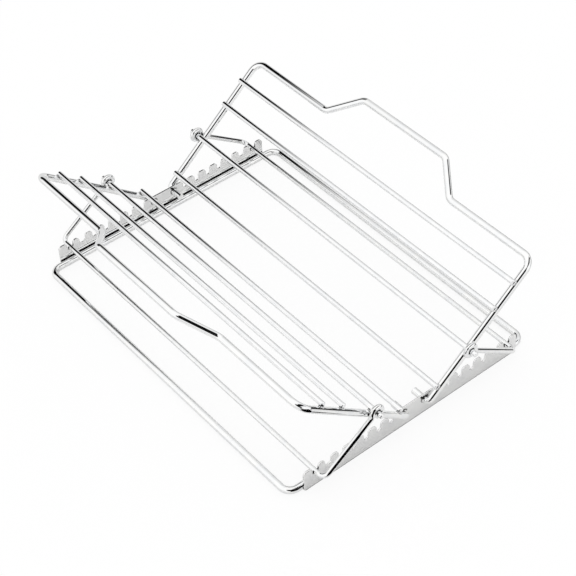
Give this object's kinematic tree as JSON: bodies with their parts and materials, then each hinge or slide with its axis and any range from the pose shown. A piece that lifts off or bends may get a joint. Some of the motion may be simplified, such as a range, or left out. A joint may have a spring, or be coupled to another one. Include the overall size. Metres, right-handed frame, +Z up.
{
  "type": "adjustable roasting rack",
  "caption": "Wire roasting rack with two hinged wings in a V, each held by a swinging wire prop that drops into notched end plates on a flat wire base.",
  "frame": {"origin": "middle of the base loop, on the surface that the rack stands on", "axes": "+X across the rack along the notched plates, towards the right wing; +Y along the rods, towards the back plate; +Z up"},
  "size_m": [0.282, 0.3668, 0.1227],
  "materials": {
    "base_wire": "bright nickel-chrome plating on steel",
    "plate": "satin nickel-chrome plating on sheet steel",
    "wing_wire": "bright nickel-chrome plating on steel",
    "rod_wire": "bright nickel-chrome plating on steel",
    "prop_wire": "bright nickel-chrome plating on steel"
  },
  "bodies": {
    "base": {"base_frame": "base_wire", "front_side_plate": "plate", "back_side_plate": "plate"},
    "left_wing": {"left_wing_frame": "wing_wire", "left_wing_rod_1": "rod_wire", "left_wing_rod_2": "rod_wire", "left_wing_rod_3": "rod_wire", "left_wing_rod_4": "rod_wire"},
    "right_wing": {"right_wing_frame": "wing_wire", "right_wing_rod_1": "rod_wire", "right_wing_rod_2": "rod_wire", "right_wing_rod_3": "rod_wire", "right_wing_rod_4": "rod_wire"},
    "left_prop": {"left_prop": "prop_wire"},
    "right_prop": {"right_prop": "prop_wire"}
  },
  "joints": [
    {"name": "left_wing_hinge", "type": "hinge", "parent": "base", "child": "left_wing", "pos_m": [-0.0109, 0, 0.01525], "axis": [0, 1, 0], "range_deg": [0, 48]},
    {"name": "right_wing_hinge", "type": "hinge", "parent": "base", "child": "right_wing", "pos_m": [0.0109, 0, 0.01525], "axis": [0, -1, 0], "range_deg": [0, 48]},
    {"name": "left_prop_hinge", "type": "hinge", "parent": "left_wing", "child": "left_prop", "pos_m": [-0.0488, 0, 0.05292], "axis": [0, 1, 0], "range_deg": [0, 63]},
    {"name": "right_prop_hinge", "type": "hinge", "parent": "right_wing", "child": "right_prop", "pos_m": [0.0488, 0, 0.05292], "axis": [0, -1, 0], "range_deg": [0, 63]}
  ],
  "couplings": [
    {"joint": "left_prop_hinge", "follows": "left_wing_hinge", "ratio": 1.3},
    {"joint": "right_prop_hinge", "follows": "right_wing_hinge", "ratio": 1.3}
  ]
}
